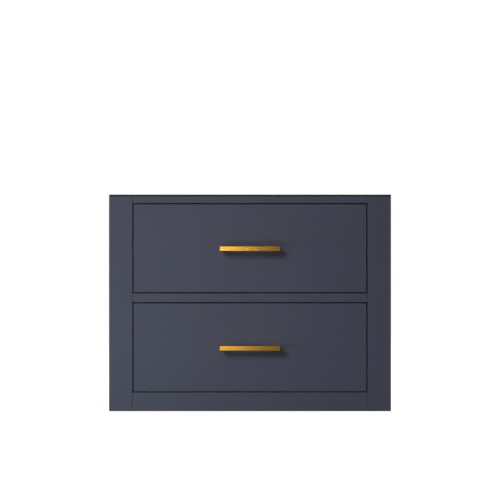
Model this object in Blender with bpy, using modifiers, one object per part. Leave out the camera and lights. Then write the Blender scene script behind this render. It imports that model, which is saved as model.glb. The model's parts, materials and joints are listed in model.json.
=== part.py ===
"""Wall-hung bathroom vanity cabinet with two inset drawers on ball-bearing runners.

Metres, +Z up. The drawers open towards -Y and +X is the viewer's right. The origin is under the
middle of the whole object's box, on the level of the underside.
"""

from math import cos, pi, sin

import bmesh
import bpy
from mathutils import Matrix, Vector

# Case
WIDTH = 0.600
HEIGHT = 0.461
CASE_DEPTH = 0.450
PANEL = 0.018
BACK_PANEL = 0.008
GAP = 0.0003
EDGE_ROUND = 0.0005
EDGE_BREAK = 0.0005
CUT_PAST = 0.001

# Face frame
FRAME_THICKNESS = 0.019
STILE_WIDTH = 0.050
TOP_RAIL = 0.0185
MIDDLE_RAIL = 0.019
BOTTOM_RAIL = 0.040
SEAL_THICKNESS = 0.0036
SEAL_WIDTH = 0.016

# Drawers
DRAWER_GAP = 0.00225
BOX_SIDE = 0.015
BOX_HEIGHT = 0.150
BOX_LENGTH = 0.400
BOX_LIFT = 0.012
BOTTOM_THICKNESS = 0.009
BOTTOM_LIFT = 0.012
GROOVE_DEPTH = 0.007
TAILS = 4
TAIL_END = 0.027
TAIL_NECK = 0.022
NOTCH_WIDTH = 0.200
NOTCH_DEPTH = 0.230
NOTCH_WALL = 0.012

# Handles
HANDLE_LENGTH = 0.128
HANDLE_BAR = 0.0098
HANDLE_PROJECTION = 0.032
HANDLE_DROP = 0.0007
POST_WIDTH = 0.016
POST_INSET = 0.0115
SCREW_RADIUS = 0.002
SCREW_HEAD_RADIUS = 0.004
SCREW_HEAD = 0.0025
SCREW_REACH = 0.010
SCREW_SIDES = 16

# Runners
RUNNER_LENGTH = 0.400
RUNNER_THICKNESS = 0.0127
RUNNER_HEIGHT = 0.045
SHEET = 0.0012
BALL_GAP = 0.0033
SPACER_HEIGHT = 0.060

# Fixing the cabinet to a wall and to the pipes
HANGING_RAIL = 0.090
LOWER_RAIL = 0.060
STRETCHER_DEPTH = 0.080
STOP_OVERLAP = 0.003
BRACKET_LEG = 0.045
BRACKET_HEIGHT = 0.060
BRACKET_SHEET = 0.0025
BRACKET_HOLE_RADIUS = 0.003
WALL_HOLE_RADIUS = 0.004
WALL_HOLE_X = 0.200
PIPE_HOLE_WIDTH = 0.300
PIPE_HOLE_HEIGHT = 0.120
PIPE_HOLE_Z = 0.290
PIPE_HOLE_ROUND = 0.025
ARC_STEPS = 5

# Derived places
FRONT_Y = -(CASE_DEPTH - HANDLE_PROJECTION) / 2
REAR_Y = FRONT_Y + CASE_DEPTH
FRAME_BACK_Y = FRONT_Y + FRAME_THICKNESS
CASE_TOP = HEIGHT - SEAL_THICKNESS - GAP
INNER_X = WIDTH / 2 - PANEL
OPENING_X = WIDTH / 2 - STILE_WIDTH
OPENING_HEIGHT = (HEIGHT - TOP_RAIL - MIDDLE_RAIL - BOTTOM_RAIL) / 2
LOWER_OPENING = BOTTOM_RAIL
UPPER_OPENING = BOTTOM_RAIL + OPENING_HEIGHT + MIDDLE_RAIL
BOX_X = OPENING_X - RUNNER_THICKNESS - GAP
POST_X = HANDLE_LENGTH / 2 - POST_INSET
HANDLE_Z = OPENING_HEIGHT / 2 - HANDLE_DROP
RUNNER_Z = BOX_LIFT + BOX_HEIGHT / 2

CASE_COLLECTION = "bathroom_vanity"
CUTTER_COLLECTION = "cutters"


def clear_scene():
    for old in list(bpy.data.objects):
        bpy.data.objects.remove(old, do_unlink=True)


def new_collection(name):
    made = bpy.data.collections.new(name)
    bpy.context.scene.collection.children.link(made)
    return made


def finish_material(name, colour, roughness, metallic):
    made = bpy.data.materials.new(name)
    made.use_nodes = True
    shader = made.node_tree.nodes["Principled BSDF"]
    shader.inputs["Base Color"].default_value = (*colour, 1.0)
    shader.inputs["Roughness"].default_value = roughness
    shader.inputs["Metallic"].default_value = metallic
    return made


def paint():
    return finish_material("blue_grey_paint", (0.062, 0.069, 0.105), 0.45, 0.0)


def brass():
    return finish_material("satin_brass", (0.83, 0.42, 0.07), 0.32, 1.0)


def birch():
    return finish_material("birch", (0.66, 0.50, 0.33), 0.55, 0.0)


def zinc():
    return finish_material("zinc_plate", (0.62, 0.63, 0.64), 0.35, 1.0)


def seal_rubber():
    return finish_material("seal_rubber", (0.030, 0.030, 0.040), 0.80, 0.0)


def place(name, mesh, material, where, parent=None):
    """A named object from a mesh, at a place measured from its parent."""
    piece = bpy.data.objects.new(name, mesh)
    bpy.data.collections[CASE_COLLECTION].objects.link(piece)
    piece.location = where
    piece.parent = parent
    mesh.materials.append(material)
    return piece


def anchor(name, where):
    """An empty that carries every piece that slides with it."""
    made = bpy.data.objects.new(name, None)
    bpy.data.collections[CASE_COLLECTION].objects.link(made)
    made.location = where
    return made


def box_mesh(name, low, high):
    """A box between two corners, its origin at its own middle, and that middle."""
    low, high = Vector(low), Vector(high)
    shape = bmesh.new()
    bmesh.ops.create_cube(shape, size=1.0, matrix=Matrix.Diagonal((*(high - low), 1.0)))
    mesh = bpy.data.meshes.new(name)
    shape.to_mesh(mesh)
    shape.free()
    return mesh, (low + high) / 2


def board(name, low, high, material, parent=None, edge=EDGE_BREAK, segments=1):
    """A flat board between two corners, its edges lightly rounded."""
    mesh, middle = box_mesh(name, low, high)
    piece = place(name, mesh, material, middle, parent)
    round_edges(piece, edge, segments)
    return piece


def round_edges(piece, width, segments):
    bevel = piece.modifiers.new("edges", "BEVEL")
    bevel.width = width
    bevel.segments = segments
    bevel.limit_method = "ANGLE"


def outline_mesh(name, points, thickness):
    """A closed flat outline in X and Y, filled and thickened evenly about Z = 0."""
    curve = bpy.data.curves.new(name, "CURVE")
    curve.dimensions = "2D"
    curve.fill_mode = "BOTH"
    curve.extrude = thickness / 2
    spline = curve.splines.new("POLY")
    spline.points.add(len(points) - 1)
    for point, (x, y) in zip(spline.points, points):
        point.co = (x, y, 0.0, 1.0)
    spline.use_cyclic_u = True
    holder = bpy.data.objects.new(name, curve)
    bpy.context.scene.collection.objects.link(holder)
    graph = bpy.context.evaluated_depsgraph_get()
    mesh = bpy.data.meshes.new_from_object(holder.evaluated_get(graph))
    bpy.data.objects.remove(holder)
    bpy.data.curves.remove(curve)
    shape = bmesh.new()
    shape.from_mesh(mesh)
    bmesh.ops.remove_doubles(shape, verts=shape.verts, dist=0.00005)
    bmesh.ops.recalc_face_normals(shape, faces=shape.faces)
    shape.to_mesh(mesh)
    shape.free()
    mesh.materials.clear()
    return mesh


def cylinder_mesh(name, radius, length, axis):
    """A cylinder about its own middle, along X or Y."""
    turn = {"X": Matrix.Rotation(pi / 2, 4, "Y"), "Y": Matrix.Rotation(pi / 2, 4, "X")}
    shape = bmesh.new()
    bmesh.ops.create_cone(
        shape,
        cap_ends=True,
        segments=SCREW_SIDES,
        radius1=radius,
        radius2=radius,
        depth=length,
        matrix=turn.get(axis, Matrix.Identity(4)),
    )
    mesh = bpy.data.meshes.new(name)
    shape.to_mesh(mesh)
    shape.free()
    return mesh


def cutter(name, mesh, where, parent=None):
    """A hidden object that only cuts others."""
    made = bpy.data.objects.new(name, mesh)
    bpy.data.collections[CUTTER_COLLECTION].objects.link(made)
    made.location = where
    made.parent = parent
    made.hide_render = True
    made.display_type = "WIRE"
    return made


def box_cutter(name, low, high, parent=None):
    mesh, middle = box_mesh(name, low, high)
    return cutter(name, mesh, middle, parent)


def combine(piece, tool, operation):
    step = piece.modifiers.new(tool.name, "BOOLEAN")
    step.operation = operation
    step.solver = "EXACT"
    step.object = tool


def cut(piece, tool):
    combine(piece, tool, "DIFFERENCE")


def join(piece, tool):
    combine(piece, tool, "UNION")


def cut_first(piece, tool):
    """Cuts before the edges are rounded."""
    cut(piece, tool)
    piece.modifiers.move(len(piece.modifiers) - 1, 0)


# ---------------------------------------------------------------- face frame and case


def face_frame(material):
    back = FRAME_BACK_Y - GAP
    for side, name in ((-1, "face_stile_left"), (1, "face_stile_right")):
        inner, outer = side * OPENING_X, side * WIDTH / 2
        low = (min(inner, outer), FRONT_Y, 0.0)
        high = (max(inner, outer), back, CASE_TOP)
        board(name, low, high, material, edge=EDGE_ROUND, segments=2)
    rails = {
        "face_rail_bottom": (0.0, LOWER_OPENING),
        "face_rail_middle": (LOWER_OPENING + OPENING_HEIGHT, UPPER_OPENING),
        "face_rail_top": (UPPER_OPENING + OPENING_HEIGHT, CASE_TOP),
    }
    reach = OPENING_X - GAP
    for name, (low_z, high_z) in rails.items():
        board(name, (-reach, FRONT_Y, low_z), (reach, back, high_z), material, edge=EDGE_ROUND, segments=2)


def side_panels(material):
    for side, name in ((-1, "side_panel_left"), (1, "side_panel_right")):
        inner, outer = side * INNER_X, side * WIDTH / 2
        low = (min(inner, outer), FRAME_BACK_Y, 0.0)
        high = (max(inner, outer), REAR_Y, CASE_TOP)
        board(name, low, high, material)


def bottom_panel(material):
    reach = INNER_X - GAP
    board("bottom_panel", (-reach, FRAME_BACK_Y, 0.0), (reach, REAR_Y, PANEL), material)


def rounded_rectangle(width, height, radius):
    """Points round a rectangle about (0, 0), with an arc at each corner."""
    points = []
    for corner, (side_x, side_y) in enumerate(((1, 1), (-1, 1), (-1, -1), (1, -1))):
        middle_x = side_x * (width / 2 - radius)
        middle_y = side_y * (height / 2 - radius)
        for step in range(ARC_STEPS + 1):
            angle = pi / 2 * (corner + step / ARC_STEPS)
            points.append((middle_x + radius * cos(angle), middle_y + radius * sin(angle)))
    return points


def back_panel(material):
    """A thin back below the hanging rail, with a rounded hole for the pipes."""
    reach = INNER_X - GAP
    low = (-reach, REAR_Y - BACK_PANEL, PANEL + GAP)
    high = (reach, REAR_Y, CASE_TOP - HANGING_RAIL - GAP)
    panel = board("back_panel", low, high, material)
    points = rounded_rectangle(PIPE_HOLE_WIDTH, PIPE_HOLE_HEIGHT, PIPE_HOLE_ROUND)
    hole = outline_mesh("pipe_hole", points, 2 * BACK_PANEL)
    hole.transform(Matrix.Rotation(pi / 2, 4, "X"))
    where = (0.0, REAR_Y - BACK_PANEL / 2, PIPE_HOLE_Z)
    cut_first(panel, cutter("pipe_hole_cutter", hole, where))


def drawer_stops(material):
    """Flat boards behind the three face rails. Their edges stop the drawer fronts flush."""
    reach = INNER_X - GAP
    deep = FRAME_BACK_Y + STRETCHER_DEPTH
    top_low = UPPER_OPENING + OPENING_HEIGHT - STOP_OVERLAP
    board("front_stretcher", (-reach, FRAME_BACK_Y, top_low), (reach, deep, CASE_TOP), material)
    middle_low = LOWER_OPENING + OPENING_HEIGHT - STOP_OVERLAP
    middle_high = UPPER_OPENING + STOP_OVERLAP
    board("middle_stretcher", (-reach, FRAME_BACK_Y, middle_low), (reach, deep, middle_high), material)
    low = (-reach, FRAME_BACK_Y, PANEL + GAP)
    high = (reach, FRAME_BACK_Y + PANEL, LOWER_OPENING + STOP_OVERLAP)
    board("bottom_stop_rail", low, high, material)


def rear_rails(material):
    """The hanging rail, drilled for two wall screws, and the rail inside the back's lower edge."""
    reach = INNER_X - GAP
    rail = board(
        "hanging_rail",
        (-reach, REAR_Y - PANEL, CASE_TOP - HANGING_RAIL),
        (reach, REAR_Y, CASE_TOP),
        material,
    )
    for side in (-1, 1):
        hole = cylinder_mesh("wall_hole", WALL_HOLE_RADIUS, 2 * PANEL, "Y")
        where = (side * WALL_HOLE_X, REAR_Y - PANEL / 2, CASE_TOP - HANGING_RAIL / 2)
        cut_first(rail, cutter(f"wall_hole_cutter_{side}", hole, where))
    inner_y = REAR_Y - BACK_PANEL - GAP
    low = (-reach, inner_y - PANEL, PANEL + GAP)
    board("lower_rear_rail", low, (reach, inner_y, PANEL + GAP + LOWER_RAIL), material)


def hanging_brackets(material):
    """Steel angles that tie the hanging rail to the side panels, drilled for screws."""
    for side, name in ((-1, "hanging_bracket_left"), (1, "hanging_bracket_right")):
        corner_x = side * (INNER_X - GAP)
        corner_y = REAR_Y - PANEL - GAP
        sheet = BRACKET_SHEET
        points = [
            (corner_x, corner_y),
            (corner_x, corner_y - BRACKET_LEG),
            (corner_x - side * sheet, corner_y - BRACKET_LEG),
            (corner_x - side * sheet, corner_y - sheet),
            (corner_x - side * BRACKET_LEG, corner_y - sheet),
            (corner_x - side * BRACKET_LEG, corner_y),
        ]
        mesh = outline_mesh(name, points, BRACKET_HEIGHT)
        middle_z = CASE_TOP - HANGING_RAIL / 2
        piece = place(name, mesh, material, (0.0, 0.0, middle_z))
        for level in (-1, 1):
            z = middle_z + level * BRACKET_HEIGHT / 4
            far = BRACKET_LEG * 0.6
            across = cylinder_mesh("bracket_hole", BRACKET_HOLE_RADIUS, 4 * sheet, "X")
            where = (corner_x, corner_y - far, z)
            cut(piece, cutter(f"{name}_side_hole_{level}", across, where))
            along = cylinder_mesh("bracket_hole", BRACKET_HOLE_RADIUS, 4 * sheet, "Y")
            where = (corner_x - side * far, corner_y, z)
            cut(piece, cutter(f"{name}_rail_hole_{level}", along, where))


def seal_strips(material):
    """Thin strips on the top edges that the basin top beds on, joined where the stiles end."""
    low_z = HEIGHT - SEAL_THICKNESS
    middle_z = low_z + SEAL_THICKNESS / 2
    reach = OPENING_X - GAP
    front_low = (-reach, FRONT_Y, low_z)
    board("seal_strip_front", front_low, (reach, FRONT_Y + SEAL_WIDTH, HEIGHT), material)
    for side, name in ((-1, "seal_strip_left"), (1, "seal_strip_right")):
        outer = side * WIDTH / 2
        points = [
            (outer, FRONT_Y),
            (outer, REAR_Y),
            (outer - side * SEAL_WIDTH, REAR_Y),
            (outer - side * SEAL_WIDTH, FRONT_Y + SEAL_WIDTH),
            (side * OPENING_X, FRONT_Y + SEAL_WIDTH),
            (side * OPENING_X, FRONT_Y),
        ]
        piece = place(name, outline_mesh(name, points, SEAL_THICKNESS), material, (0, 0, middle_z))
        round_edges(piece, EDGE_BREAK, 1)
    reach = WIDTH / 2 - SEAL_WIDTH - GAP
    rear_low = (-reach, REAR_Y - SEAL_WIDTH, low_z)
    board("seal_strip_rear", rear_low, (reach, REAR_Y, HEIGHT), material)


# ---------------------------------------------------------------- runners


def channel_mesh(name, web_x, lip_x, height):
    """A folded channel along Y: a web at web_x and two flanges that reach to lip_x."""
    half = height / 2
    profile = [(lip_x, -half), (web_x, -half), (web_x, half), (lip_x, half)]
    shape = bmesh.new()
    points = [shape.verts.new((x, -RUNNER_LENGTH / 2, z)) for x, z in profile]
    edges = [shape.edges.new(pair) for pair in zip(points, points[1:])]
    made = bmesh.ops.extrude_edge_only(shape, edges=edges)["geom"]
    ends = [item for item in made if isinstance(item, bmesh.types.BMVert)]
    bmesh.ops.translate(shape, verts=ends, vec=(0.0, RUNNER_LENGTH, 0.0))
    bmesh.ops.recalc_face_normals(shape, faces=shape.faces)
    mesh = bpy.data.meshes.new(name)
    shape.to_mesh(mesh)
    shape.free()
    return mesh


def channel(name, side, web, lip, height, material, where, parent=None):
    """A sheet channel whose web and lip are given as distances from the cabinet's middle."""
    mesh = channel_mesh(name, side * web, side * lip, height)
    piece = place(name, mesh, material, where, parent)
    sheet = piece.modifiers.new("sheet", "SOLIDIFY")
    sheet.thickness = SHEET
    sheet.offset = 0.0
    sheet.use_even_offset = True
    return piece


def runner_pair(level, opening_z, drawer, middle, material, wood):
    """Both runners of one drawer: packing strip, cabinet member, middle member, drawer member."""
    centre = Vector((0.0, FRAME_BACK_Y + GAP + RUNNER_LENGTH / 2, opening_z + RUNNER_Z))
    outer_web = OPENING_X - GAP - SHEET / 2
    drawer_web = BOX_X + GAP + SHEET / 2
    middle_web = outer_web - SHEET - GAP * 3
    middle_height = RUNNER_HEIGHT - 2 * SHEET - 2 * BALL_GAP
    drawer_height = middle_height - 2 * SHEET - 2 * BALL_GAP
    for side, word in ((-1, "left"), (1, "right")):
        inner, outer = side * OPENING_X, side * (INNER_X - GAP)
        low = (min(inner, outer), FRAME_BACK_Y, centre.z - SPACER_HEIGHT / 2)
        high = (max(inner, outer), centre.y + RUNNER_LENGTH / 2, centre.z + SPACER_HEIGHT / 2)
        board(f"{level}_runner_packer_{word}", low, high, wood)
        channel(
            f"{level}_cabinet_member_{word}",
            side,
            outer_web,
            drawer_web + SHEET,
            RUNNER_HEIGHT - SHEET,
            material,
            centre,
        )
        channel(
            f"{level}_middle_member_{word}",
            side,
            middle_web,
            drawer_web + SHEET,
            middle_height - SHEET,
            material,
            centre - middle.location,
            middle,
        )
        channel(
            f"{level}_drawer_member_{word}",
            side,
            drawer_web,
            middle_web - SHEET - GAP * 3,
            drawer_height - SHEET,
            material,
            centre - drawer.location,
            drawer,
        )


# ---------------------------------------------------------------- drawers


def tail_half_width(out):
    """Half a dovetail's width at a distance out from its neck. It widens towards its end."""
    return (TAIL_NECK + (TAIL_END - TAIL_NECK) * out / BOX_SIDE) / 2


def tail_corners(number, neck_out, end_out, grow=0.0):
    """(outward, z) corners of one dovetail between two distances from the box's inner face."""
    middle = BOX_LIFT + (number + 0.5) * BOX_HEIGHT / TAILS
    neck = tail_half_width(neck_out) + grow
    end = tail_half_width(end_out) + grow
    return [
        (neck_out, middle - neck),
        (end_out, middle - end),
        (end_out, middle + end),
        (neck_out, middle + neck),
    ]


def side_outline():
    """The drawer side seen from its side: a board with dovetails at both ends, in (y, z)."""
    inner_rear = BOX_LENGTH - BOX_SIDE
    top = BOX_LIFT + BOX_HEIGHT
    points = [(BOX_SIDE + GAP, BOX_LIFT)]
    for number in range(TAILS):
        points += [(BOX_SIDE - out, z) for out, z in tail_corners(number, -GAP, BOX_SIDE)]
    points += [(BOX_SIDE + GAP, top), (inner_rear - GAP, top)]
    for number in reversed(range(TAILS)):
        corners = reversed(tail_corners(number, -GAP, BOX_SIDE))
        points += [(inner_rear + out, z) for out, z in corners]
    points.append((inner_rear - GAP, BOX_LIFT))
    return points


def across_matrix():
    """Turns an outline drawn in (y, z) so that it stands in the YZ plane, thick along X."""
    return Matrix(((0, 0, 1, 0), (1, 0, 0, 0), (0, 1, 0, 0), (0, 0, 0, 1)))


def drawer_side(name, side, material, drawer, inner_rear):
    mesh = outline_mesh(name, side_outline(), BOX_SIDE)
    mesh.transform(across_matrix())
    where = (side * (BOX_X - BOX_SIDE / 2), 0.0, 0.0)
    piece = place(name, mesh, material, where, drawer)
    inner = side * (BOX_X - BOX_SIDE)
    deep = inner + side * GROOVE_DEPTH
    low_z = BOX_LIFT + BOTTOM_LIFT - GAP
    low = (min(deep, inner - side * BOX_SIDE), BOX_SIDE - GROOVE_DEPTH, low_z)
    high = (
        max(deep, inner - side * BOX_SIDE),
        inner_rear + GROOVE_DEPTH,
        low_z + BOTTOM_THICKNESS + 2 * GAP,
    )
    cut(piece, box_cutter(name + "_groove_cutter", low, high, drawer))
    return piece


def socket_cutters(name, end, drawer):
    """For each side, one cutter shaped like that side's dovetails, a little larger all round."""
    tools = []
    for side in (-1, 1):
        shape = bmesh.new()
        for number in range(TAILS):
            corners = tail_corners(number, -CUT_PAST, BOX_SIDE + CUT_PAST, GAP)
            if end == "front":
                points = [(BOX_SIDE - out, z) for out, z in corners]
            else:
                points = [(BOX_LENGTH - BOX_SIDE + out, z) for out, z in corners]
            prism = outline_mesh("socket", points, BOX_SIDE + 2 * CUT_PAST)
            prism.transform(across_matrix())
            shape.from_mesh(prism)
            bpy.data.meshes.remove(prism)
        mesh = bpy.data.meshes.new(name)
        shape.to_mesh(mesh)
        shape.free()
        where = (side * (BOX_X - BOX_SIDE / 2 + CUT_PAST - GAP), 0.0, 0.0)
        tools.append(cutter(f"{name}_{end}_sockets_{side}", mesh, where, drawer))
    return tools


def cross_board(name, low_x, high_x, end, material, drawer, tools):
    """A board across the front or rear of the box, between low_x and high_x."""
    low_y = 0.0 if end == "front" else BOX_LENGTH - BOX_SIDE
    low = (low_x, low_y, BOX_LIFT)
    high = (high_x, low_y + BOX_SIDE, BOX_LIFT + BOX_HEIGHT)
    mesh, middle = box_mesh(name, low, high)
    piece = place(name, mesh, material, middle, drawer)
    for tool in tools:
        cut(piece, tool)
    return piece


def groove_cross_board(piece, name, end, low_x, high_x, drawer):
    inner = BOX_SIDE if end == "front" else BOX_LENGTH - BOX_SIDE
    deep = inner - GROOVE_DEPTH if end == "front" else inner + GROOVE_DEPTH
    past = inner + BOX_SIDE if end == "front" else inner - BOX_SIDE
    low_z = BOX_LIFT + BOTTOM_LIFT - GAP
    low = (low_x, min(deep, past), low_z)
    high = (high_x, max(deep, past), low_z + BOTTOM_THICKNESS + 2 * GAP)
    cut(piece, box_cutter(name + "_groove_cutter", low, high, drawer))


def drawer_bottom_points(notched):
    """The bottom's outline: a rectangle, or a U that leaves room for the basin's trap."""
    side_x = BOX_X - BOX_SIDE + GROOVE_DEPTH - GAP
    front = BOX_SIDE - GROOVE_DEPTH + GAP
    rear = BOX_LENGTH - BOX_SIDE + GROOVE_DEPTH - GAP
    points = [(-side_x, front), (side_x, front), (side_x, rear)]
    if notched:
        notch_x = NOTCH_WIDTH / 2
        notch_y = BOX_LENGTH - NOTCH_DEPTH
        points += [(notch_x, rear), (notch_x, notch_y), (-notch_x, notch_y), (-notch_x, rear)]
    points.append((-side_x, rear))
    return points


def drawer_front(level, material, drawer):
    """The slab front, flush with the face frame, drilled for the handle's screws."""
    reach = OPENING_X - DRAWER_GAP
    low = (-reach, -FRAME_THICKNESS, DRAWER_GAP)
    high = (reach, -GAP, OPENING_HEIGHT - DRAWER_GAP)
    return board(f"{level}_drawer_front", low, high, material, drawer, EDGE_ROUND, 2)


def handle(level, material, drawer):
    """A square bar on two posts, joined into one solid and drilled from behind."""
    half = HANDLE_BAR / 2
    near = -FRAME_THICKNESS - HANDLE_PROJECTION
    name = f"{level}_handle"
    bar, middle = box_mesh(
        name,
        (-HANDLE_LENGTH / 2, near, HANDLE_Z - half),
        (HANDLE_LENGTH / 2, near + HANDLE_BAR, HANDLE_Z + half),
    )
    piece = place(name, bar, material, middle, drawer)
    for side in (-1, 1):
        left = side * POST_X - POST_WIDTH / 2
        tool = box_cutter(
            f"{name}_post_{side}",
            (left, near + HANDLE_BAR / 2, HANDLE_Z - half),
            (left + POST_WIDTH, -FRAME_THICKNESS - GAP, HANDLE_Z + half),
            drawer,
        )
        join(piece, tool)
    round_edges(piece, EDGE_BREAK, 2)
    return piece


def handle_screws(level, material, drawer, drilled):
    """Two screws from inside the box, through sub-front and front, into the handle's posts."""
    tip = -FRAME_THICKNESS - SCREW_REACH
    seat = BOX_SIDE + GAP
    for side, word in ((-1, "left"), (1, "right")):
        x, z = side * POST_X, HANDLE_Z
        name = f"{level}_handle_screw_{word}"
        shank = cylinder_mesh(name, SCREW_RADIUS, seat - tip + SCREW_HEAD / 2, "Y")
        middle_y = (seat + SCREW_HEAD / 2 + tip) / 2
        piece = place(name, shank, material, (x, middle_y, z), drawer)
        head = cylinder_mesh("screw_head", SCREW_HEAD_RADIUS, SCREW_HEAD, "Y")
        tool = cutter(f"{name}_head", head, (x, seat + SCREW_HEAD / 2, z), drawer)
        join(piece, tool)
        length = seat - tip + 2 * GAP
        hole = cylinder_mesh("screw_hole", SCREW_RADIUS + GAP, length, "Y")
        drill = cutter(f"{name}_hole", hole, (x, tip - GAP + length / 2, z), drawer)
        for target in drilled:
            cut(target, drill)


def drawer_box(level, notched, material, drawer):
    """The dovetailed box with its grooved-in bottom. It gives back the sub-front, to be drilled."""
    inner_rear = BOX_LENGTH - BOX_SIDE
    for side, word in ((-1, "left"), (1, "right")):
        drawer_side(f"{level}_drawer_side_{word}", side, material, drawer, inner_rear)
    front_tools = socket_cutters(level, "front", drawer)
    rear_tools = socket_cutters(level, "rear", drawer)
    groove_x = BOX_X - BOX_SIDE + GROOVE_DEPTH
    name = f"{level}_drawer_sub_front"
    sub_front = cross_board(name, -BOX_X, BOX_X, "front", material, drawer, front_tools)
    groove_cross_board(sub_front, name, "front", -groove_x, groove_x, drawer)
    if notched:
        inner_x = NOTCH_WIDTH / 2
        for side, word in ((-1, "left"), (1, "right")):
            name = f"{level}_drawer_back_{word}"
            ends = sorted((side * BOX_X, side * inner_x))
            tools = [rear_tools[0 if side < 0 else 1]]
            piece = cross_board(name, ends[0], ends[1], "rear", material, drawer, tools)
            cuts = sorted((side * groove_x, side * (inner_x - BOX_SIDE)))
            groove_cross_board(piece, name, "rear", cuts[0], cuts[1], drawer)
    else:
        name = f"{level}_drawer_back"
        piece = cross_board(name, -BOX_X, BOX_X, "rear", material, drawer, rear_tools)
        groove_cross_board(piece, name, "rear", -groove_x, groove_x, drawer)
    name = f"{level}_drawer_bottom"
    mesh = outline_mesh(name, drawer_bottom_points(notched), BOTTOM_THICKNESS)
    middle_z = BOX_LIFT + BOTTOM_LIFT + BOTTOM_THICKNESS / 2
    place(name, mesh, material, (0.0, 0.0, middle_z), drawer)
    return sub_front


def notch_walls(level, material, drawer):
    """Three low walls that stand on the bottom round the notch."""
    low_z = BOX_LIFT + BOTTOM_LIFT + BOTTOM_THICKNESS + GAP
    high_z = BOX_LIFT + BOX_HEIGHT
    inner_x = NOTCH_WIDTH / 2
    front = BOX_LENGTH - NOTCH_DEPTH
    rear = BOX_LENGTH - BOX_SIDE - GAP
    for side, word in ((-1, "left"), (1, "right")):
        ends = sorted((side * inner_x, side * (inner_x + NOTCH_WALL)))
        low = (ends[0], front + GAP, low_z)
        board(f"{level}_notch_wall_{word}", low, (ends[1], rear, high_z), material, drawer)
    reach = inner_x + NOTCH_WALL
    low = (-reach, front - NOTCH_WALL, low_z)
    board(f"{level}_notch_wall_front", low, (reach, front, high_z), material, drawer)


def drawer(level, opening_z, notched, finishes):
    """One whole drawer, carried by an empty on its slide's axis, and its pair of runners."""
    on_axis = (0.0, FRAME_BACK_Y, opening_z)
    carrier = anchor(f"{level}_drawer_slide_axis", on_axis)
    middle = anchor(f"{level}_runner_slide_axis", on_axis)
    front = drawer_front(level, finishes["paint"], carrier)
    sub_front = drawer_box(level, notched, finishes["birch"], carrier)
    pull = handle(level, finishes["brass"], carrier)
    handle_screws(level, finishes["zinc"], carrier, (front, sub_front, pull))
    if notched:
        notch_walls(level, finishes["birch"], carrier)
    runner_pair(level, opening_z, carrier, middle, finishes["zinc"], finishes["birch"])


def build():
    clear_scene()
    new_collection(CASE_COLLECTION)
    new_collection(CUTTER_COLLECTION)
    finishes = {
        "paint": paint(),
        "brass": brass(),
        "birch": birch(),
        "zinc": zinc(),
        "rubber": seal_rubber(),
    }
    face_frame(finishes["paint"])
    side_panels(finishes["paint"])
    bottom_panel(finishes["paint"])
    back_panel(finishes["birch"])
    drawer_stops(finishes["birch"])
    rear_rails(finishes["birch"])
    hanging_brackets(finishes["zinc"])
    seal_strips(finishes["rubber"])
    drawer("upper", UPPER_OPENING, True, finishes)
    drawer("lower", LOWER_OPENING, False, finishes)


build()
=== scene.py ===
import json
from math import cos, pi, radians, sin

import bmesh
import bpy
from mathutils import Matrix, Vector


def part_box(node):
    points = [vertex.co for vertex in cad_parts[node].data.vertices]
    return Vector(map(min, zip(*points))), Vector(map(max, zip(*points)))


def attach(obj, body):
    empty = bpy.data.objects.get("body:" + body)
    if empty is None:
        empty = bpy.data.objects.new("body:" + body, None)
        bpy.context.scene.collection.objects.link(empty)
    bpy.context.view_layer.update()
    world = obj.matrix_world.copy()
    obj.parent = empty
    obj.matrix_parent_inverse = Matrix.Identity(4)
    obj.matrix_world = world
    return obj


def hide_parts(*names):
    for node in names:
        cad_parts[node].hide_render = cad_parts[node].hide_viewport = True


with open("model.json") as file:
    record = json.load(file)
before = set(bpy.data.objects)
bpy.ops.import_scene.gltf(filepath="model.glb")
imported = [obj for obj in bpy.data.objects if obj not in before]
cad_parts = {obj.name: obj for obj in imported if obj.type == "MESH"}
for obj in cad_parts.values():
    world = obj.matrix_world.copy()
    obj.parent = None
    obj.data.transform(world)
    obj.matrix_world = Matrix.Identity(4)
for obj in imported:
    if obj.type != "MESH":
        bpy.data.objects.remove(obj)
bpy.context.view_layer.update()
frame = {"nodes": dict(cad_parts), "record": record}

SIDES = ((-1, "left"), (1, "right"))
LEVELS = ("upper", "lower")

# The camera stands level, in front of the cabinet's middle. The frame's width is at the cabinet's front
CAMERA_DISTANCE = 4.5
CAMERA_HEIGHT = 0.343
CAMERA_REACH = (0.05, 60.0)
FRAME_WIDTH = 1.0637
SENSOR = 36.0

# Lights: where each stands, what it looks at, its width and height, its power, and what it reaches
LIGHTS = {
    "key": ((-1.90, -4.01, 2.10), (0.0, -0.21, 0.25), (1.5, 1.3), 113.0, "both"),
    "handle_strip": ((-0.170, -1.20, 0.360), (-0.170, -0.21, 0.360), (0.28, 0.60), 0.99, "gloss"),
    "left_fill": ((-1.10, -0.90, 0.10), (-0.3, -0.21, 0.10), (0.5, 0.16), 1.45, "matt"),
    "low_fill": ((-0.50, -0.95, 0.07), (-0.1, -0.21, 0.07), (0.9, 0.12), 1.90, "matt"),
    "left_light": ((-2.20, 1.30, 1.20), (0.0, 0.10, 0.25), (2.4, 1.8), 46.0, "both"),
    "right_light": ((2.20, 1.30, 1.20), (0.0, 0.10, 0.25), (2.4, 1.8), 46.0, "both"),
    "rear_light": ((0.20, 2.70, 1.20), (0.0, 0.20, 0.25), (2.6, 1.8), 26.0, "both"),
    "top_light": ((0.10, 1.40, 2.30), (0.0, 0.10, 0.30), (2.6, 2.4), 40.0, "both"),
}

# The sky lights only from above. It grows from nothing to its full strength between these two upward
# shares of a direction, where 0 is level and 1 is straight up
SKY_STRENGTH = 0.30
SKY_EDGE = (0.55, 0.85)

# The floor is white to the camera. To everything else it is a dim grey with a little glow
FLOOR_HALF_WIDTH = 12.0
FLOOR_DROP = 0.0005
FLOOR_GREY = (0.08, 0.08, 0.08)
FLOOR_GLOW = 0.06
WHITE = (1.0, 1.0, 1.0)

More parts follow.
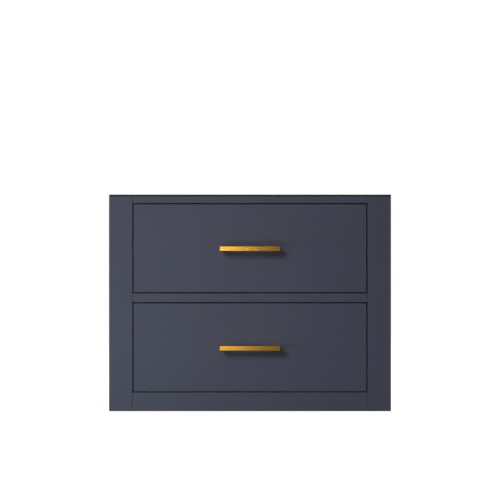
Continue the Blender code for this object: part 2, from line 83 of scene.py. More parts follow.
# Runners. A cage's rounding is a share of its sheet
RUNNER_SHEET = 0.0012
BALL_RADIUS = 0.00155
BALL_PITCH = 0.0145
BALL_GAP = 0.0033
BALLS = 11
RACE_INSET = 0.0032
CAGE_SHEET = 0.0006
CAGE_WIDTH = 0.0056
CAGE_MARGIN = 0.006
CAGE_ROUND = 0.3

# The release lever: it is thinner at its ends and wider where it starts
LEVER_START = 0.055
LEVER_LENGTH = 0.034
LEVER_RISE = 0.0052
LEVER_HALF_WIDTH = 0.0022
LEVER_FLARE = 0.0012
LEVER_THICKNESS = 0.0022
LEVER_TIP = 0.0012
LEVER_TAPER = 0.7
LEVER_CLEARANCE = 0.0004
LEVER_STEPS = 12
LEVER_ROUND = 0.0003

# Screws. The cross recess and the dome are shares of the head's radius and height
SCREW_SIDES = 28
DOME_STEPS = 6
DOME_FLAT = 0.72
DOME_RIM = 0.35
RECESS_LONG = 1.15
RECESS_SHORT = 0.26
RECESS_HEIGHT = 1.2
RECESS_MIDDLE = 1.05
RUNNER_HEAD_RADIUS = 0.0036
FLAT_HEAD = 0.0005
PAN_HEAD = 0.0020
RUNNER_SCREW_PLACES = (0.08, 0.5, 0.92)
BRACKET_HEAD_RADIUS = 0.0050
BRACKET_HEAD = 0.0024
BRACKET_SHEET = 0.0025
BRACKET_SCREW_PLACE = 0.6
HEAD_CLEARANCE = 0.0003
SHANK_OVERLAP = 0.0001

# Glue blocks and sealant
BLOCK_DEPTH = 0.045
BLOCK_SLACK = 0.0006
BLOCK_LIP = 0.0020
BLOCK_ROUND = 0.0006
DAB_WIDTH = 0.0008
DAB_SLACK = 0.0002
JOINT_DAB_SETBACK = 0.004


# ---------------------------------------------------------------- camera, floor and lights


def add_object(name, data):
    """Puts a new object in the scene."""
    made = bpy.data.objects.new(name, data)
    bpy.context.scene.collection.objects.link(made)
    return made


def aim(thing, at, to):
    """Stands a light at one place, looking at another."""
    thing.location = at
    thing.rotation_euler = (Vector(to) - Vector(at)).to_track_quat("-Z", "Y").to_euler()


def camera():
    """A level view of the front, a little above the cabinet's middle."""
    front_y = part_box("face_stile_left")[0].y
    data = bpy.data.cameras.new("camera")
    data.sensor_width = SENSOR
    data.lens = SENSOR * CAMERA_DISTANCE / FRAME_WIDTH
    data.clip_start, data.clip_end = CAMERA_REACH
    made = add_object("camera", data)
    made.location = (0.0, front_y - CAMERA_DISTANCE, CAMERA_HEIGHT)
    made.rotation_euler = (pi / 2, 0.0, 0.0)
    bpy.context.scene.camera = made


def soft_light(name, at, to, size, power, reaches):
    """A rectangular light. It reaches matt surfaces, glossy ones, or both."""
    data = bpy.data.lights.new(name, "AREA")
    data.shape = "RECTANGLE"
    data.size, data.size_y = size
    data.energy = power
    made = add_object(name, data)
    aim(made, at, to)
    made.visible_camera = False
    made.visible_diffuse = reaches != "gloss"
    made.visible_glossy = reaches != "matt"


def studio():
    """A white background that lights the cabinet only from above, and the lights."""
    world = bpy.data.worlds.new("studio")
    world.use_nodes = True
    tree = world.node_tree
    sky = tree.nodes["Background"]
    sky.inputs["Color"].default_value = (*WHITE, 1.0)
    ray = tree.nodes.new("ShaderNodeLightPath")
    strength = tree.nodes.new("ShaderNodeMix")
    strength.inputs["B"].default_value = 1.0
    split = tree.nodes.new("ShaderNodeSeparateXYZ")
    overhead = tree.nodes.new("ShaderNodeMapRange")
    overhead.inputs["From Min"].default_value = SKY_EDGE[0]
    overhead.inputs["From Max"].default_value = SKY_EDGE[1]
    overhead.inputs["To Max"].default_value = SKY_STRENGTH
    tree.links.new(tree.nodes.new("ShaderNodeTexCoord").outputs["Generated"], split.inputs[0])
    tree.links.new(split.outputs["Z"], overhead.inputs["Value"])
    tree.links.new(overhead.outputs["Result"], strength.inputs["A"])
    tree.links.new(ray.outputs["Is Camera Ray"], strength.inputs["Factor"])
    tree.links.new(strength.outputs["Result"], sky.inputs["Strength"])
    bpy.context.scene.world = world
    bpy.context.scene.view_settings.view_transform = "Standard"
    for name, light in LIGHTS.items():
        soft_light(name, *light)


def floor():
    """A pale floor that stays pure white in the picture, but lights the cabinet only softly."""
    shape = bmesh.new()
    bmesh.ops.create_grid(shape, x_segments=1, y_segments=1, size=FLOOR_HALF_WIDTH)
    mesh = bpy.data.meshes.new("floor")
    shape.to_mesh(mesh)
    shape.free()
    made = add_object("floor", mesh)
    made.location.z = -FLOOR_DROP
    material = bpy.data.materials.new("pale_floor")
    material.use_nodes = True
    tree = material.node_tree
    shader = tree.nodes["Principled BSDF"]
    shader.inputs["Base Color"].default_value = (*FLOOR_GREY, 1.0)
    shader.inputs["Roughness"].default_value = 0.7
    shader.inputs["Specular IOR Level"].default_value = 0.2
    shader.inputs["Emission Color"].default_value = (*WHITE, 1.0)
    ray = tree.nodes.new("ShaderNodeLightPath")
    strength = tree.nodes.new("ShaderNodeMix")
    strength.inputs["A"].default_value = FLOOR_GLOW
    strength.inputs["B"].default_value = 1.0
    tree.links.new(ray.outputs["Is Camera Ray"], strength.inputs["Factor"])
    tree.links.new(strength.outputs["Result"], shader.inputs["Emission Strength"])
    mesh.materials.append(material)


# ---------------------------------------------------------------- material building blocks

# The colour sockets of a Mix node, whose names it shares with its other kinds of value
COLOUR_A = 6
COLOUR_B = 7
MIXED_COLOUR = 2


def tint(colour, factor):
    """A colour made lighter or darker."""
    return tuple(channel * factor for channel in colour)


def with_alpha(colour):
    """A plain colour with the fourth channel that a socket needs. A linked value passes as it is."""
    return (*colour, 1.0) if isinstance(colour, tuple) else colour


class Finish:
    """A material with one Principled shader, and short calls that add its nodes."""

    def __init__(self, name, metallic=0.0):
        self.material = bpy.data.materials.new(name)
        self.material.use_nodes = True
        self.tree = self.material.node_tree
        self.shader = self.tree.nodes["Principled BSDF"]
        self.shader.inputs["Metallic"].default_value = metallic
        self.place = self.tree.nodes.new("ShaderNodeTexCoord").outputs["Object"]

    def node(self, kind, **values):
        """Adds a node and sets what it needs."""
        made = self.tree.nodes.new(kind)
        for key, value in values.items():
            setattr(made, key, value)
        return made

    def feed(self, socket, value):
        """Links a value that comes from a node, or sets a plain one."""
        if isinstance(value, bpy.types.NodeSocket):
            self.tree.links.new(value, socket)
        else:
            socket.default_value = value

    def stretched(self, scale, shift=(0.0, 0.0, 0.0)):
        """The place on the object, scaled along each axis."""
        mapping = self.node("ShaderNodeMapping")
        self.feed(mapping.inputs["Vector"], self.place)
        mapping.inputs["Scale"].default_value = scale
        mapping.inputs["Location"].default_value = shift
        return mapping.outputs["Vector"]

    def axis(self, name):
        """The place along one axis of the object, in metres."""
        split = self.node("ShaderNodeSeparateXYZ")
        self.feed(split.inputs[0], self.place)
        return split.outputs[name]

    def facing(self, name):
        """How far the face itself looks along an axis, from -1 to 1."""
        turned = self.node(
            "ShaderNodeVectorTransform", vector_type="NORMAL", convert_from="WORLD", convert_to="OBJECT"
        )
        self.feed(turned.inputs[0], self.node("ShaderNodeNewGeometry").outputs["True Normal"])
        split = self.node("ShaderNodeSeparateXYZ")
        self.feed(split.inputs[0], turned.outputs[0])
        return split.outputs[name]

    def noise(self, vector, scale, detail=3.0, roughness=0.5, distortion=0.0):
        """Clouds from 0 to 1, about scale of them to the metre."""
        made = self.node("ShaderNodeTexNoise")
        self.feed(made.inputs["Vector"], vector)
        made.inputs["Scale"].default_value = scale
        made.inputs["Detail"].default_value = detail
        made.inputs["Roughness"].default_value = roughness
        made.inputs["Distortion"].default_value = distortion
        return made.outputs["Fac"]

    def math(self, operation, first, second=0.0):
        """One step of arithmetic."""
        made = self.node("ShaderNodeMath", operation=operation)
        self.feed(made.inputs[0], first)
        self.feed(made.inputs[1], second)
        return made.outputs[0]

    def span(self, value, low, high, to_low, to_high):
        """Carries a value from one range to another, held inside the new one."""
        made = self.node("ShaderNodeMapRange", clamp=True)
        self.feed(made.inputs["Value"], value)
        made.inputs["From Min"].default_value = low
        made.inputs["From Max"].default_value = high
        made.inputs["To Min"].default_value = to_low
        made.inputs["To Max"].default_value = to_high
        return made.outputs["Result"]

    def blend(self, factor, first, second):
        """The first colour where the factor is 0 and the second where it is 1."""
        made = self.node("ShaderNodeMix", data_type="RGBA")
        self.feed(made.inputs["Factor"], factor)
        self.feed(made.inputs[COLOUR_A], with_alpha(first))
        self.feed(made.inputs[COLOUR_B], with_alpha(second))
        return made.outputs[MIXED_COLOUR]

    def rise(self, value, low, high):
        """0 where the value is below low, 1 where it is above high, and a slope between."""
        return self.span(value, low, high, 0.0, 1.0)

    def two_tone(self, value, low, high, colour, first, second):
        """One colour in two strengths, the second where the value is high."""
        return self.blend(self.rise(value, low, high), tint(colour, first), tint(colour, second))

    def bump(self, height, depth, under=None):
        """Raises the surface by height times depth metres."""
        made = self.node("ShaderNodeBump")
        made.inputs["Strength"].default_value = 1.0
        made.inputs["Distance"].default_value = depth
        self.feed(made.inputs["Height"], height)
        if under is not None:
            self.feed(made.inputs["Normal"], under)
        return made.outputs["Normal"]

    def done(self, colour, roughness, normal=None):
        """Joins the finished colour, roughness and normal to the shader."""
        self.feed(self.shader.inputs["Base Color"], colour)
        self.feed(self.shader.inputs["Roughness"], roughness)
        if normal is not None:
            self.feed(self.shader.inputs["Normal"], normal)
        return self.material


# ---------------------------------------------------------------- materials

# Colours
PAINT = (0.0616, 0.0678, 0.1000)
BOARD = (0.60, 0.57, 0.52)
BRASS = (0.95, 0.455, 0.050)
BIRCH = (0.66, 0.465, 0.285)
VENEER = (0.68, 0.50, 0.31)
ZINC = (0.50, 0.51, 0.53)
# The seal strip's foam colour is painted shade: a near-black that stands in for the shadow along the top
# edge
TOP_SHADOW_FOAM = (0.032, 0.032, 0.043)
BLACK_PLASTIC = (0.016, 0.016, 0.018)
STEEL_DARK = (0.52, 0.53, 0.55)
STEEL_LIGHT = (0.66, 0.67, 0.69)

# The face frame was lacquered in place, so its paint also reaches the parts just behind it. There it is
# also painted shade, which darkens the gaps around the drawers
FRAME_BACK_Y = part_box("face_stile_left")[1].y
SPRAY_AND_SHADE_REACH = 0.004
PACKER_SPRAY_AND_SHADE_REACH = 0.045
SPRAY_EDGE = 0.0002

# How sharply the paint stops at the edge of an inner face
MASK_EDGE = 0.0001

# Pairs of light and dark plies
PLIES_PER_METRE = 600.0


def sprayed_colour(finish):
    """Satin lacquer: broad drifts in tone, and the fine stipple that a spray gun leaves."""
    drift = finish.noise(finish.place, 5.0, detail=2.0)
    stipple = finish.noise(finish.place, 900.0, detail=2.0)
    tone = finish.math("ADD", finish.math("MULTIPLY", drift, 0.6), finish.math("MULTIPLY", stipple, 0.4))
    return finish.two_tone(tone, 0.3, 0.7, PAINT, 0.965, 1.035)


def sprayed_surface(finish):
    """The lacquer's roughness and its faint orange peel."""
    peel = finish.noise(finish.place, 420.0, detail=2.0, roughness=0.45)
    grit = finish.noise(finish.place, 2400.0, detail=1.0)
    rough = finish.span(finish.noise(finish.place, 30.0), 0.3, 0.7, 0.47, 0.54)
    return rough, finish.bump(grit, 0.0000025, finish.bump(peel, 0.000012))


def lacquer(name):
    """A new material with the lacquer's soft shine."""
    finish = Finish(name)
    finish.shader.inputs["Specular IOR Level"].default_value = 0.20
    return finish


def paint():
    """Blue-grey lacquer all over."""
    finish = lacquer("blue_grey_lacquer")
    rough, normal = sprayed_surface(finish)
    return finish.done(sprayed_colour(finish), rough, normal)


def melamine_colour(finish):
    """Pale grained board, as on the unpainted inside of a case."""
    streak = finish.noise(finish.stretched((60.0, 3.0, 60.0)), 6.0, detail=5.0, roughness=0.6)
    return finish.two_tone(streak, 0.35, 0.65, BOARD, 0.93, 1.05)


def painted_outside(name, axis, limit):
    """Lacquered, except that the inner face, which stands at limit along the axis, is pale board."""
    finish = lacquer(name)
    rough, normal = sprayed_surface(finish)
    outside = finish.rise(finish.math("ABSOLUTE", finish.axis(axis)), limit, limit + MASK_EDGE)
    if axis == "Z":
        outside = finish.math("SUBTRACT", 1.0, outside)
    colour = finish.blend(outside, melamine_colour(finish), sprayed_colour(finish))
    return finish.done(colour, rough, normal)


def behind_frame(finish, reach):
    """1 as far as reach behind the face frame's back, where its lacquer reached too, and darkens the gaps
    as painted shade.
    """
    end = FRAME_BACK_Y + reach
    return finish.span(finish.axis("Y"), end - SPRAY_EDGE, end, 1.0, 0.0)


def overspray_and_gap_shade(finish):
    """1 on the faces just behind the face frame that look forward, where lacquer from the frame lands and
    darkens the gaps as painted shade.
    """
    forward = finish.span(finish.facing("Y"), -0.6, -0.4, 1.0, 0.0)
    return finish.math("MULTIPLY", behind_frame(finish, SPRAY_AND_SHADE_REACH), forward)


def satin_brass():
    """Brushed along the bar, so that its shine runs up and down it."""
    finish = Finish("brushed_brass", metallic=1.0)
    lines = finish.noise(finish.stretched((9.0, 1500.0, 1500.0)), 1.0, detail=2.0)
    colour = finish.two_tone(lines, 0.35, 0.65, BRASS, 0.95, 1.03)
    rough = finish.span(lines, 0.3, 0.7, 0.255, 0.267)
    finish.shader.inputs["Anisotropic"].default_value = 0.60
    tangent = finish.node("ShaderNodeTangent", direction_type="RADIAL", axis="X")
    finish.feed(finish.shader.inputs["Tangent"], tangent.outputs[0])
    return finish.done(colour, rough, finish.bump(lines, 0.0000006))


def grained(finish, along, colour, shift):
    """Wood with its grain along X, Y or Z: bands, streaks and short flecks, darker on its cut ends.

    Gives its colour, its streaks and its flecks."""
    slow, quick = 1.1, 16.0
    stretch = {
        "X": (slow, quick, quick),
        "Y": (quick, slow, quick),
        "Z": (quick, quick, slow),
    }[along]
    place = finish.stretched(stretch, shift)
    bands = finish.noise(place, 1.6, detail=4.0, roughness=0.55, distortion=0.6)
    rings = finish.math("FRACT", finish.math("MULTIPLY", bands, 7.0))
    streaks = finish.noise(place, 22.0, detail=5.0, roughness=0.6)
    finer = tuple(value * 2.2 for value in stretch)
    flecks = finish.noise(finish.stretched(finer, shift), 40.0, detail=2.0)
    tone = finish.math("ADD", finish.math("MULTIPLY", rings, 0.35), finish.math("MULTIPLY", streaks, 0.65))
    base = finish.two_tone(tone, 0.25, 0.75, colour, 0.86, 1.08)
    dark = finish.span(flecks, 0.62, 0.74, 0.0, 0.55)
    flecked = finish.blend(dark, base, tint(colour, 0.62))
    pores = finish.noise(finish.place, 900.0, detail=2.0)
    cut_end = finish.two_tone(pores, 0.4, 0.6, colour, 0.52, 0.72)
    on_end = finish.rise(finish.math("ABSOLUTE", finish.facing(along)), 0.6, 0.8)
    return finish.blend(on_end, flecked, cut_end), streaks, flecks


def birch(along, shift, is_packer):
    """Clear-finished birch, a separate board for each shift, with the frame's lacquer on its front, which
    is partly spray from the frame and partly painted shade for the gaps.
    """
    finish = Finish(f"birch_along_{along}_{shift[0]:.0f}")
    wood, streaks, flecks = grained(finish, along, BIRCH, shift)
    lacquer_and_gap_shade = behind_frame(finish, PACKER_SPRAY_AND_SHADE_REACH) if is_packer else overspray_and_gap_shade(finish)
    colour = finish.blend(lacquer_and_gap_shade, wood, sprayed_colour(finish))
    rough = finish.span(streaks, 0.3, 0.7, 0.42, 0.56)
    return finish.done(colour, rough, finish.bump(flecks, -0.00002, finish.bump(streaks, 0.00002)))


def plywood(along, thick, shift):
    """Birch plywood: veneer on its faces, and stripes of alternating plies on its cut edges."""
    finish = Finish(f"plywood_thick_{thick}_{shift[0]:.0f}")
    face, streaks, flecks = grained(finish, along, VENEER, shift)
    on_face = finish.rise(finish.math("ABSOLUTE", finish.facing(thick)), 0.4, 0.6)
    stripe = finish.math("FRACT", finish.math("MULTIPLY", finish.axis(thick), PLIES_PER_METRE))
    edge = finish.two_tone(stripe, 0.45, 0.55, VENEER, 0.95, 0.52)
    colour = finish.blend(on_face, edge, face)
    return finish.done(colour, finish.span(streaks, 0.3, 0.7, 0.48, 0.6), finish.bump(flecks, -0.00002))


def zinc():
    """Bright zinc plate on cold-rolled strip, with faint rolling lines and clouds. Its front ends carry
    the lacquer at half its brightness, which is painted shade for the gaps.
    """
    finish = Finish("zinc_plated_steel", metallic=1.0)
    lines = finish.noise(finish.stretched((900.0, 12.0, 900.0)), 1.0, roughness=0.6)
    clouds = finish.noise(finish.place, 60.0, detail=4.0, roughness=0.6)
    plate = finish.two_tone(clouds, 0.3, 0.7, ZINC, 0.88, 1.06)
    ends = overspray_and_gap_shade(finish)
    finish.feed(finish.shader.inputs["Metallic"], finish.math("SUBTRACT", 1.0, ends))
    # Half-bright lacquer on the front ends: painted shade where they show through the gaps
    colour = finish.blend(ends, plate, tint(PAINT, 0.5))
    return finish.done(colour, finish.span(clouds, 0.3, 0.7, 0.36, 0.48), finish.bump(lines, 0.000004))


def bearing_steel():
    """Polished balls with a faint haze."""
    finish = Finish("bearing_steel", metallic=1.0)
    haze = finish.noise(finish.place, 700.0, detail=2.0)
    colour = finish.blend(haze, STEEL_DARK, STEEL_LIGHT)
    return finish.done(colour, finish.span(haze, 0.3, 0.7, 0.10, 0.20))


def top_shadow_foam():
    """Closed-cell foam strip with an open skin. Its near-black is painted shade: the dark strip stands in
    for the shadow along the cabinet's top edge.
    """
    finish = Finish("top_shadow_foam")
    finish.shader.inputs["Specular IOR Level"].default_value = 0.15
    cells = finish.node("ShaderNodeTexVoronoi")
    finish.feed(cells.inputs["Vector"], finish.place)
    cells.inputs["Scale"].default_value = 1400.0
    depth = cells.outputs["Distance"]
    colour = finish.two_tone(depth, 0.0, 0.8, TOP_SHADOW_FOAM, 0.75, 1.15)
    return finish.done(colour, finish.span(depth, 0.0, 0.8, 0.78, 0.92), finish.bump(depth, 0.00008))


def black_plastic():
    """Moulded plastic with a fine grain."""
    finish = Finish("black_plastic")
    grain = finish.noise(finish.place, 2200.0, detail=2.0)
    colour = finish.two_tone(grain, 0.0, 1.0, BLACK_PLASTIC, 0.8, 1.4)
    return finish.done(colour, finish.span(grain, 0.3, 0.7, 0.38, 0.5), finish.bump(grain, 0.00001))


# ---------------------------------------------------------------- finishes of the CAD nodes

# How the faceted parts are smoothed, how far inside a panel its inner face's colour starts, and the
# boards that the plywood is cut from
WELD_DISTANCE = 0.00001
SPLIT_ANGLE = radians(50)
FACE_SLACK = 0.0002
BACK_PANEL_BOARD = 40
DRAWER_BOTTOM_BOARD = 50


def soften(node):
    """Joins the facets' corners and shades the small rounded edges smoothly."""
    for attribute in ("custom_normal", "sharp_edge", "sharp_face"):
        if attribute in node.data.attributes:
            node.data.attributes.remove(node.data.attributes[attribute])
    weld = node.modifiers.new("weld", "WELD")
    weld.merge_threshold = WELD_DISTANCE
    split = node.modifiers.new("split", "EDGE_SPLIT")
    split.split_angle = SPLIT_ANGLE
    node.modifiers.new("weighted", "WEIGHTED_NORMAL")


def wear(node, material):
    """Gives a CAD node its material."""
    node.data.materials.clear()
    node.data.materials.append(material)
    soften(node)


def board_shift(number):
    """A different part of the wood for each board."""
    return (float(number), 3.7 * number, 1.9 * number)


def grain_direction(name):
    """Boards that run from front to back have their grain along Y, the others along X."""
    front_to_back = ("side", "packer", "notch_wall")
    ends = tuple(f"{kind}_{word}" for kind in front_to_back for _, word in SIDES)
    return "Y" if name.endswith(ends) else "X"


def finish_nodes():
    """Gives every CAD node its material, and returns the materials that whole slots share."""
    nodes = frame["nodes"]
    slots = {part["node"]: part["material_slot"] for part in frame["record"]["subparts"]}
    plain = {
        "blue_grey_paint": paint(),
        "satin_brass": satin_brass(),
        "zinc_plate": zinc(),
        # The seal strips' dark foam is painted shade along the cabinet's top edge
        "seal_rubber": top_shadow_foam(),
    }
    inner_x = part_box("side_panel_right")[0].x + FACE_SLACK
    floor_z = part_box("bottom_panel")[1].z - FACE_SLACK
    special = {
        "side_panel_left": painted_outside("side_panel_lacquer", "X", inner_x),
        "bottom_panel": painted_outside("bottom_panel_lacquer", "Z", floor_z),
        "back_panel": plywood("X", "Y", board_shift(BACK_PANEL_BOARD)),
    }
    special["side_panel_right"] = special["side_panel_left"]
    for number, level in enumerate(LEVELS):
        special[f"{level}_drawer_bottom"] = plywood("X", "Z", board_shift(DRAWER_BOTTOM_BOARD + number))
    for number, name in enumerate(sorted(nodes)):
        if name in special:
            wear(nodes[name], special[name])
        elif slots[name] in plain:
            wear(nodes[name], plain[slots[name]])
        else:
            wear(nodes[name], birch(grain_direction(name), board_shift(number), "packer" in name))
    return plain


# ---------------------------------------------------------------- runner balls, cages and levers

SHARP_ANGLE = radians(40)


def mesh_object(name, shape, material, body):
    """Turns a bmesh into a smooth-shaded piece on a body."""
    mesh = bpy.data.meshes.new(name)
    shape.to_mesh(mesh)
    shape.free()
    mesh.materials.append(material)
    mesh.shade_smooth()
    mesh.set_sharp_from_angle(angle=SHARP_ANGLE)
    made = add_object(name, mesh)
    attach(made, body)
    return made


def race_rows(level, side, word):
    """(x, z, first y) of the four rows of balls in one runner, two on each side of the middle member.

    The outer rows sit at the middle member's rear and the inner rows at its front."""
    outer_low, outer_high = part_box(f"{level}_cabinet_member_{word}")
    middle_low, middle_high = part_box(f"{level}_middle_member_{word}")
    inner_low, inner_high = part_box(f"{level}_drawer_member_{word}")
    sheet = (outer_high.z - outer_low.z - (middle_high.z - middle_low.z)) / 2 - BALL_GAP
    centre_z = (outer_low.z + outer_high.z) / 2
    run = BALL_PITCH * (BALLS - 1)
    outer_x = (middle_low.x + middle_high.x) / 2
    inner_x = side * (max(abs(inner_low.x), abs(inner_high.x)) - RACE_INSET)
    outer_gap = (outer_high.z - sheet + middle_high.z) / 2 - centre_z
    inner_gap = (middle_high.z - sheet + inner_high.z) / 2 - centre_z
    rear_start = middle_high.y - CAGE_MARGIN * 2 - run
    front_start = middle_low.y + CAGE_MARGIN * 2
    rows = []
    for up in (-1, 1):
        rows.append((outer_x, centre_z + up * outer_gap, rear_start))
        rows.append((inner_x, centre_z + up * inner_gap, front_start))
    return rows


def ball_races(steel, cage_steel):
    """The balls of each runner, and the flat cages that hold them, which travel with its middle member."""
    run = BALL_PITCH * (BALLS - 1)
    for level in LEVELS:
        for side, word in SIDES:
            balls, cages = bmesh.new(), bmesh.new()
            for x, z, start in race_rows(level, side, word):
                for number in range(BALLS):
                    spot = Matrix.Translation((x, start + number * BALL_PITCH, z))
                    bmesh.ops.create_icosphere(balls, subdivisions=2, radius=BALL_RADIUS, matrix=spot)
                size = Matrix.Diagonal((CAGE_WIDTH, run + 2 * CAGE_MARGIN, CAGE_SHEET, 1.0))
                middle = Matrix.Translation((x, start + run / 2, z))
                bmesh.ops.create_cube(cages, size=1.0, matrix=middle @ size)
            bmesh.ops.bevel(
                cages, geom=cages.edges, offset=CAGE_SHEET * CAGE_ROUND, segments=1, affect="EDGES"
            )
            body = f"{level}_runner_middle"
            mesh_object(f"{level}_runner_balls_{word}", balls, steel, body)
            mesh_object(f"{level}_ball_cages_{word}", cages, cage_steel, body)


def lever_rings(shape, side, low, high):
    """Four-cornered rings along one lever, which rises as it goes back inside its drawer member."""
    near = side * (min(abs(low.x), abs(high.x)) + RUNNER_SHEET + LEVER_CLEARANCE)
    centre_z = (low.z + high.z) / 2
    rings = []
    for step in range(LEVER_STEPS + 1):
        along = step / LEVER_STEPS
        y = low.y + LEVER_START + LEVER_LENGTH * along
        z = centre_z + LEVER_RISE * sin(pi * (along - 0.5))
        half = LEVER_HALF_WIDTH + LEVER_FLARE * (1 - along)
        far = near + side * (LEVER_THICKNESS if 0 < step < LEVER_STEPS else LEVER_TIP)
        ring = [(near, -half), (far, -half * LEVER_TAPER), (far, half * LEVER_TAPER), (near, half)]
        rings.append([shape.verts.new((x, y, z + rise)) for x, rise in ring])
    return rings


def release_levers(material):
    """The small curved lever inside each drawer member that frees the drawer from its runner."""
    for level in LEVELS:
        for side, word in SIDES:
            shape = bmesh.new()
            rings = lever_rings(shape, side, *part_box(f"{level}_drawer_member_{word}"))
            for first, second in zip(rings, rings[1:]):
                for corner in range(4):
                    after = (corner + 1) % 4
                    shape.faces.new((first[corner], first[after], second[after], second[corner]))
            shape.faces.new(rings[0])
            shape.faces.new(reversed(rings[-1]))
            bmesh.ops.recalc_face_normals(shape, faces=shape.faces)
            made = mesh_object(f"{level}_release_lever_{word}", shape, material, f"{level}_drawer")
            rounding = made.modifiers.new("rounding", "BEVEL")
            rounding.width = LEVER_ROUND
            rounding.segments = 2


# ---------------------------------------------------------------- glue blocks and sealant


def box_matrix(middle, size):
    """Turns a unit cube into a box of this size, around this place."""
    return Matrix.Translation(middle) @ Matrix.Diagonal((*size, 1.0))


def glue_blocks(material):
    """Lacquered blocks that stiffen each stile, with lips that reach to the runners and close the gaps."""
    rails = [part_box(name) for name in ("bottom_stop_rail", "middle_stretcher", "front_stretcher")]
    for side, word in SIDES:
        shape = bmesh.new()
        for level, below, above in (("lower", rails[0], rails[1]), ("upper", rails[1], rails[2])):
            low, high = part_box(f"{level}_runner_packer_{word}")
            member_low, member_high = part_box(f"{level}_cabinet_member_{word}")
            near, far = sorted((abs(low.x), abs(high.x)))
            spans = (
                (far, below[1].z, low.z),
                (far, high.z, above[0].z),
                (near, low.z - BLOCK_LIP, member_low.z),
                (near, member_high.z, high.z + BLOCK_LIP),
            )
            for reach, z0, z1 in spans:
                size = (reach - near + BLOCK_LIP - BLOCK_SLACK, BLOCK_DEPTH, z1 - z0 - BLOCK_SLACK)
                x = side * (near - BLOCK_LIP + size[0] / 2)
                y = low.y + (BLOCK_DEPTH + BLOCK_SLACK) / 2
                spot = box_matrix((x, y, (z0 + z1) / 2), size)
                bmesh.ops.create_cube(shape, size=1.0, matrix=spot)
        bmesh.ops.bevel(shape, geom=shape.edges, offset=BLOCK_ROUND, segments=2, affect="EDGES")
        mesh_object(f"stile_glue_blocks_{word}", shape, material, "cabinet")


def seal_dabs(material):
    """Dabs of sealant in the seal strips' front corners, and in the frame's joints under the strip, in the
    same dark foam, whose colour is painted shade.
    """
    low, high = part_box("seal_strip_front")
    for side, word in SIDES:
        shape = bmesh.new()
        corner = (side * (high.x + DAB_WIDTH / 4), (low.y + high.y) / 2, (low.z + high.z) / 2)
        corner_size = (DAB_WIDTH, high.y - low.y - DAB_WIDTH, high.z - low.z - DAB_SLACK)
        bmesh.ops.create_cube(shape, size=1.0, matrix=box_matrix(corner, corner_size))
        joint_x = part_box(f"face_stile_{word}")[side < 0].x
        joint = (joint_x, low.y + JOINT_DAB_SETBACK, low.z)
        joint_size = (DAB_WIDTH * 2, JOINT_DAB_SETBACK, DAB_WIDTH * 2)
        bmesh.ops.create_cube(shape, size=1.0, matrix=box_matrix(joint, joint_size))
        bmesh.ops.bevel(shape, geom=shape.edges, offset=DAB_WIDTH / 5, segments=2, affect="EDGES")
        mesh_object(f"seal_dab_{word}", shape, material, "cabinet")


# ---------------------------------------------------------------- screws


def domed_head(radius, height):
    """A domed head about +Z, its seat at Z = 0."""
    shape = bmesh.new()
    profile = [(0.0, 0.0), (radius, 0.0)]
    for step in range(DOME_STEPS + 1):
        angle = pi / 2 * step / DOME_STEPS
        out = DOME_FLAT + (1 - DOME_FLAT) * cos(angle)
        up = DOME_RIM + (1 - DOME_RIM) * sin(angle)
        profile.append((radius * out, height * up))
    profile.append((0.0, height))
    points = [shape.verts.new((x, 0.0, z)) for x, z in profile]
    edges = [shape.edges.new(pair) for pair in zip(points, points[1:])]
    bmesh.ops.spin(
        shape, geom=points + edges, cent=(0, 0, 0), axis=(0, 0, 1), angle=2 * pi, steps=SCREW_SIDES
    )
    bmesh.ops.remove_doubles(shape, verts=shape.verts, dist=WELD_DISTANCE / 2)
    bmesh.ops.recalc_face_normals(shape, faces=shape.faces)
    return shape


def cross_recess(radius, height):
    """Two crossed bars that cut the driver's recess out of a head's top."""
    shape = bmesh.new()
    for long, wide in ((RECESS_LONG, RECESS_SHORT), (RECESS_SHORT, RECESS_LONG)):
        size = (radius * long, radius * wide, height * RECESS_HEIGHT)
        spot = box_matrix((0.0, 0.0, height * RECESS_MIDDLE), size)
        bmesh.ops.create_cube(shape, size=1.0, matrix=spot)
    return shape


def loose_object(name, shape):
    """An object that is only used to make another, and is removed again."""
    mesh = bpy.data.meshes.new(name)
    shape.to_mesh(mesh)
    shape.free()
    return add_object(name, mesh)


def screw_head(radius, height, material):
    """The mesh of a domed head with a cross-shaped recess."""
    head = loose_object("screw_head", domed_head(radius, height))
    recess = loose_object("screw_recess", cross_recess(radius, height))
    cut = head.modifiers.new("recess", "BOOLEAN")
    cut.object = recess
    cut.use_self = True
    graph = bpy.context.evaluated_depsgraph_get()
    mesh = bpy.data.meshes.new_from_object(head.evaluated_get(graph))
    bpy.data.objects.remove(head)
    bpy.data.objects.remove(recess)
    mesh.materials.clear()
    mesh.materials.append(material)
    return mesh


def screws(name, head, spots, body, shank=None):
    """One piece holding a screw head at each (place, direction), each with a shank if asked."""
    shape = bmesh.new()
    for place, direction in spots:
        turn = Vector(direction).to_track_quat("Z", "Y").to_matrix().to_4x4()
        spot = Matrix.Translation(place) @ turn
        copy = head.copy()
        copy.transform(spot)
        shape.from_mesh(copy)
        bpy.data.meshes.remove(copy)
        if shank:
            radius, length = shank
            down = Matrix.Translation((0.0, 0.0, SHANK_OVERLAP - length / 2))
            bmesh.ops.create_cone(
                shape,
                cap_ends=True,
                segments=SCREW_SIDES,
                radius1=radius,
                radius2=radius,
                depth=length,
                matrix=spot @ down,
            )
    return mesh_object(name, shape, head.materials[0], body)


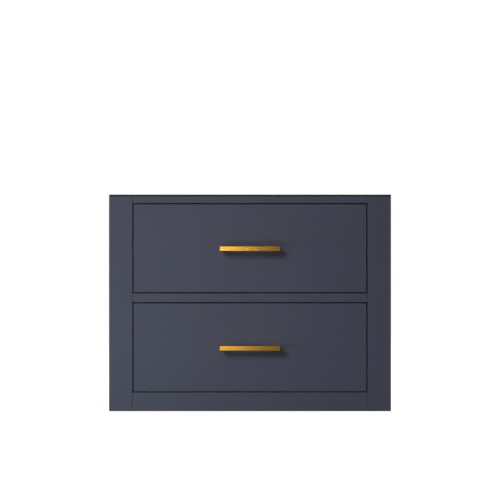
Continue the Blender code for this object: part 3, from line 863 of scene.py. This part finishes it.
def handle_screws(material):
    """Machine screws that go through the sub-front and the front into the handles' posts."""
    for level in LEVELS:
        for _, word in SIDES:
            node = f"{level}_handle_screw_{word}"
            low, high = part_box(node)
            radius = (high.z - low.z) / 2
            seat_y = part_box(f"{level}_drawer_sub_front")[1].y + HEAD_CLEARANCE
            middle = Vector(((low.x + high.x) / 2, seat_y, (low.z + high.z) / 2))
            head = screw_head(radius, high.y - seat_y, material)
            shank = (radius / 2, seat_y - low.y)
            name, spots = f"{level}_machine_screw_{word}", [(middle, (0, 1, 0))]
            piece = screws(name, head, spots, f"{level}_drawer", shank)
            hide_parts(node)


def runner_screws(material):
    """Low heads in the cabinet members, and pan heads inside the drawer members."""
    flat = screw_head(RUNNER_HEAD_RADIUS, FLAT_HEAD, material)
    pan = screw_head(RUNNER_HEAD_RADIUS, PAN_HEAD, material)
    for level in LEVELS:
        for side, word in SIDES:
            for member, head, body in (("cabinet", flat, "cabinet"), ("drawer", pan, f"{level}_drawer")):
                low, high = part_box(f"{level}_{member}_member_{word}")
                near, far = sorted((abs(low.x), abs(high.x)))
                face = far - RUNNER_SHEET if member == "cabinet" else near + RUNNER_SHEET
                facing = -side if member == "cabinet" else side
                z = (low.z + high.z) / 2
                places = [low.y + (high.y - low.y) * share for share in RUNNER_SCREW_PLACES]
                spots = [(Vector((side * face, y, z)), (facing, 0, 0)) for y in places]
                screws(f"{level}_{member}_member_screws_{word}", head, spots, body)


def bracket_screws(material):
    """Two screws through each leg of each hanging bracket."""
    head = screw_head(BRACKET_HEAD_RADIUS, BRACKET_HEAD, material)
    for side, word in SIDES:
        low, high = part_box(f"hanging_bracket_{word}")
        along = (high.y - low.y) * BRACKET_SCREW_PLACE
        corner_x = side * max(abs(low.x), abs(high.x))
        spots = []
        for level in (-1, 1):
            z = (low.z + high.z) / 2 + level * (high.z - low.z) / 4
            spots.append((Vector((corner_x - side * BRACKET_SHEET, high.y - along, z)), (-side, 0, 0)))
            spots.append((Vector((corner_x - side * along, high.y - BRACKET_SHEET, z)), (0, -1, 0)))
        screws(f"bracket_screws_{word}", head, spots, "cabinet")


# ---------------------------------------------------------------- everything


def main():
    """Builds the studio, finishes the CAD nodes, and adds the pieces that the solids leave out."""
    camera()
    studio()
    floor()
    finishes = finish_nodes()
    ball_races(bearing_steel(), finishes["zinc_plate"])
    release_levers(black_plastic())
    glue_blocks(finishes["blue_grey_paint"])
    seal_dabs(finishes["seal_rubber"])
    handle_screws(finishes["zinc_plate"])
    runner_screws(finishes["zinc_plate"])
    bracket_screws(finishes["zinc_plate"])


main()
